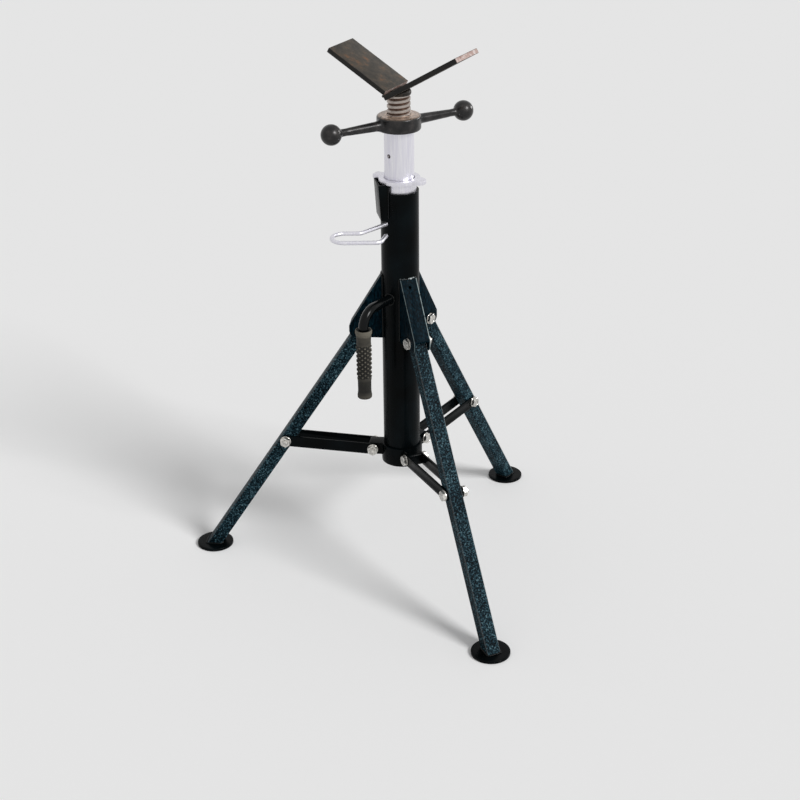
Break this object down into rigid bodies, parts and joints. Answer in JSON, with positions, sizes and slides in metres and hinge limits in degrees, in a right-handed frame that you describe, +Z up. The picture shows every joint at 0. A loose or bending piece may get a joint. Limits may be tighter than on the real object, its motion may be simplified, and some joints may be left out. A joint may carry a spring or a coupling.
{
  "type": "folding pipe jack stand",
  "caption": "Folding tripod pipe stand: a V head on a lift screw with a ball-arm hand nut, an inner tube that slides in the column, a locking pin and a carry handle.",
  "frame": {"origin": "on the floor, at the middle of the box that holds the whole stand", "axes": "+Z up the column; +Y away from the picture's camera; +X to its right"},
  "size_m": [0.6131, 0.6618, 0.9182],
  "materials": {
    "black_paint": "gloss black paint",
    "leg_paint": "dark hammered paint",
    "bright_steel": "bright zinc-plated steel",
    "zinc": "bright zinc-plated hardware",
    "cast_iron": "dark cast, worn at the rim",
    "screw_steel": "oiled bare steel",
    "bar_steel": "dark mill-scale steel",
    "grip_rubber": "matte grey-brown rubber"
  },
  "bodies": {
    "base": {"outer_tube": "black_paint", "guide_bush": "bright_steel", "stop_ring": "black_paint", "lock_bracket": "black_paint", "carry_handle": "black_paint", "handle_grip": "grip_rubber", "hood_front": "black_paint", "hood_bolt_front": "zinc", "hood_nut_front": "zinc", "hood_back": "black_paint", "hood_bolt_back": "zinc", "hood_nut_back": "zinc", "hood_left": "black_paint", "hood_bolt_left": "zinc", "hood_nut_left": "zinc"},
    "collar": {"collar": "black_paint", "lug_bolt_front": "zinc", "lug_nut_front": "zinc", "lug_bolt_back": "zinc", "lug_nut_back": "zinc", "lug_bolt_left": "zinc", "lug_nut_left": "zinc"},
    "inner_tube_body": {"inner_tube": "bright_steel", "thrust_washer": "bright_steel"},
    "hand_nut": {"handle_nut": "cast_iron"},
    "screw_head": {"lift_screw": "screw_steel", "v_bar_left": "bar_steel", "v_bar_right": "bar_steel"},
    "tilting_plate": {"lock_plate": "bright_steel"},
    "pull_pin": {"locking_pin": "bright_steel"},
    "leg_front_body": {"leg_front": "leg_paint", "foot_front": "black_paint", "leg_pin_front": "zinc"},
    "brace_front_body": {"brace_front_a": "black_paint", "brace_front_b": "black_paint", "brace_bolt_front": "zinc", "brace_nut_front": "zinc"},
    "leg_back_body": {"leg_back": "leg_paint", "foot_back": "black_paint", "leg_pin_back": "zinc"},
    "brace_back_body": {"brace_back_a": "black_paint", "brace_back_b": "black_paint", "brace_bolt_back": "zinc", "brace_nut_back": "zinc"},
    "leg_left_body": {"leg_left": "leg_paint", "foot_left": "black_paint", "leg_pin_left": "zinc"},
    "brace_left_body": {"brace_left_a": "black_paint", "brace_left_b": "black_paint", "brace_bolt_left": "zinc", "brace_nut_left": "zinc"}
  },
  "joints": [
    {"name": "leg_fold_front", "type": "hinge", "parent": "base", "child": "leg_front_body", "pos_m": [0.0965, -0.04036, 0.44], "axis": [0.9135, 0.4067, 0], "range_deg": [0, 28]},
    {"name": "leg_fold_back", "type": "hinge", "parent": "base", "child": "leg_back_body", "pos_m": [0.10808, 0.06989, 0.44], "axis": [-0.809, 0.5878, 0], "range_deg": [0, 28]},
    {"name": "leg_fold_left", "type": "hinge", "parent": "base", "child": "leg_left_body", "pos_m": [0.00682, 0.0248, 0.44], "axis": [-0.1045, -0.9945, 0], "range_deg": [0, 28]},
    {"name": "collar_slide", "type": "slide", "parent": "base", "child": "collar", "axis": [0, 0, 1], "range_m": [0, 0.1187]},
    {"name": "brace_fold_front", "type": "hinge", "parent": "collar", "child": "brace_front_body", "pos_m": [0.0908, -0.02757, 0.2152], "axis": [0.9135, 0.4067, 0], "range_deg": [0, 79.8]},
    {"name": "brace_fold_back", "type": "hinge", "parent": "collar", "child": "brace_back_body", "pos_m": [0.09985, 0.05856, 0.2152], "axis": [-0.809, 0.5878, 0], "range_deg": [0, 79.8]},
    {"name": "brace_fold_left", "type": "hinge", "parent": "collar", "child": "brace_left_body", "pos_m": [0.02074, 0.02334, 0.2152], "axis": [-0.1045, -0.9945, 0], "range_deg": [0, 79.8]},
    {"name": "inner_slide", "type": "slide", "parent": "base", "child": "inner_tube_body", "axis": [0, 0, 1], "range_m": [-0.069, 0.3]},
    {"name": "nut_turn", "type": "hinge", "parent": "inner_tube_body", "child": "hand_nut", "pos_m": [0.07047, 0.01811, 0.79775], "axis": [0, 0, 1], "range_deg": [-4050, 1080]},
    {"name": "screw_rise", "type": "slide", "parent": "inner_tube_body", "child": "screw_head", "axis": [0, 0, 1], "range_m": [-0.024, 0.09]},
    {"name": "lock_tilt", "type": "hinge", "parent": "base", "child": "tilting_plate", "pos_m": [0.03063, 0.04111, 0.7008], "axis": [-0.5, -0.866, 0], "range_deg": [0, 5]},
    {"name": "pin_pull", "type": "slide", "parent": "base", "child": "pull_pin", "axis": [-0.6947, -0.7193, 0], "range_m": [0, 0.03]}
  ],
  "couplings": [
    {"joint": "leg_fold_back", "follows": "leg_fold_front", "ratio": 1},
    {"joint": "leg_fold_left", "follows": "leg_fold_front", "ratio": 1},
    {"joint": "collar_slide", "follows": "leg_fold_front", "m_per_rad": 0.24284},
    {"joint": "brace_fold_front", "follows": "leg_fold_front", "ratio": 2.8498},
    {"joint": "brace_fold_back", "follows": "leg_fold_front", "ratio": 2.8498},
    {"joint": "brace_fold_left", "follows": "leg_fold_front", "ratio": 2.8498},
    {"joint": "screw_rise", "follows": "nut_turn", "m_per_rad": -0.0012732}
  ]
}
